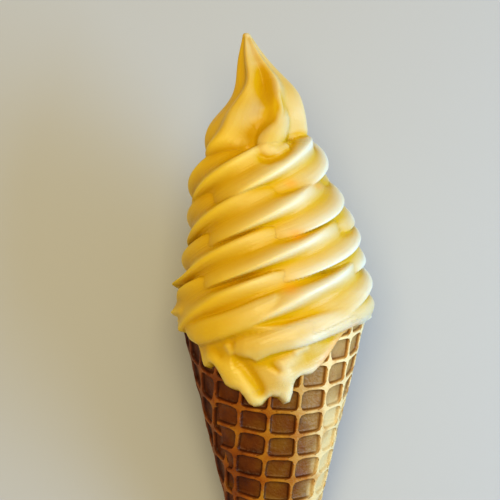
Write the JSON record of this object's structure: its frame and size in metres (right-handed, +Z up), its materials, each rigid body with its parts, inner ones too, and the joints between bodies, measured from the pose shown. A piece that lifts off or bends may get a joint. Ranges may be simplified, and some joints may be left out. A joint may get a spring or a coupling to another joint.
{
  "type": "soft serve cone",
  "caption": "Tall twisted swirl of yellow soft serve in a rolled waffle cone with a square rib grid, cream lapping over the rim in a V, lying on its back.",
  "frame": {"origin": "centre of the bounding box at the surface that the cone lies on", "axes": "+Y along the length towards the tip of the swirl, +Z up out of the side that shows, +X across to the right of the shown side"},
  "size_m": [0.0752, 0.237, 0.0768],
  "materials": {
    "cream": "soft serve ice cream, yellow, satin with a slightly wet sheen",
    "wafer": "baked waffle wafer, toasted brown, matt with a slight sugar sheen"
  },
  "bodies": {
    "root": {"soft_serve": "cream", "waffle_cone": "wafer"}
  },
  "joints": []
}
